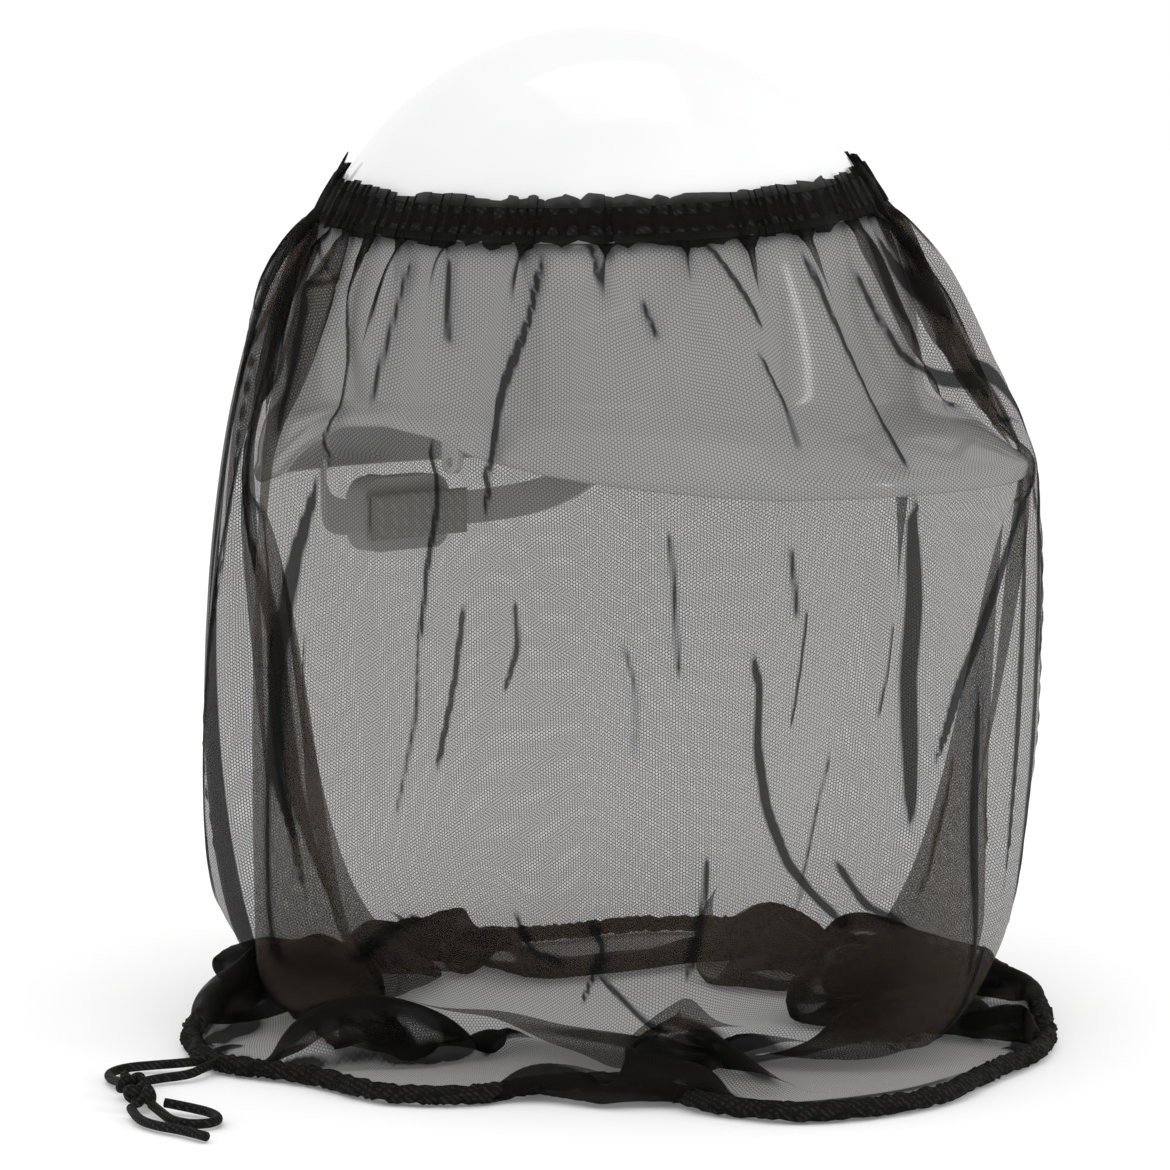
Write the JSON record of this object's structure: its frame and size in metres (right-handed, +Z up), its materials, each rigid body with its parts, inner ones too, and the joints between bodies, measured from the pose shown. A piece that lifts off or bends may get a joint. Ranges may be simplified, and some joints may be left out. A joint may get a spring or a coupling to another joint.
{
  "type": "beekeeping veil",
  "caption": "Fine black net veil gathered on elastic round a white peaked hard hat, hanging to a drawcord hem with a knotted cord at one side.",
  "frame": {"origin": "centre of the headband's middle plane, where the wearer's head holds the hat", "axes": "+Z up out of the crown, -Y the way the wearer faces, +X to the wearer's left"},
  "size_m": [0.3842, 0.3373, 0.334],
  "materials": {
    "hat_plastic": "glossy moulded white",
    "harness_plastic": "fine textured dark grey",
    "knob_plastic": "satin black",
    "webbing": "woven polyester",
    "sweat_foam": "terry faced foam",
    "pad_foam": "soft foam",
    "net": "fine open mesh",
    "net_gathered": "doubled and gathered mesh",
    "elastic": "knitted elastic",
    "cord": "braided cord"
  },
  "bodies": {
    "hard_hat": {"hat_shell": "hat_plastic", "chin_strap_tabs": "hat_plastic", "headband": "harness_plastic", "sweatband": "sweat_foam", "crown_strap_left": "webbing", "crown_strap_right": "webbing", "crown_pad": "pad_foam", "harness_keys": "harness_plastic"},
    "nape_adjuster": {"nape_strap": "harness_plastic", "nape_pad": "pad_foam", "ratchet_housing": "harness_plastic"},
    "ratchet": {"ratchet_knob": "knob_plastic", "ratchet_pinion": "knob_plastic"},
    "veil": {"netting": "net", "top_casing": "net_gathered", "top_elastic": "elastic", "side_seam": "net_gathered", "seam_end": "net_gathered", "bottom_hem": "net_gathered", "drawcord": "cord", "cord_strand_upper": "cord", "cord_strand_lower": "cord", "cord_tail_loop": "cord", "cord_tail_end": "cord", "cord_knot": "cord"}
  },
  "joints": [
    {"name": "veil_lift", "type": "slide", "parent": "hard_hat", "child": "veil", "axis": [0, 0, 1], "range_m": [0, 0.36]},
    {"name": "ratchet_turn", "type": "hinge", "parent": "nape_adjuster", "child": "ratchet", "pos_m": [0, 0.106, -0.066], "axis": [0, 1, 0], "range_deg": [-127, 59]},
    {"name": "nape_slide", "type": "slide", "parent": "hard_hat", "child": "nape_adjuster", "axis": [0, 1, 0], "range_m": [-0.013, 0.006]}
  ],
  "couplings": [
    {"joint": "ratchet_turn", "follows": "nape_slide", "rad_per_m": 170}
  ]
}
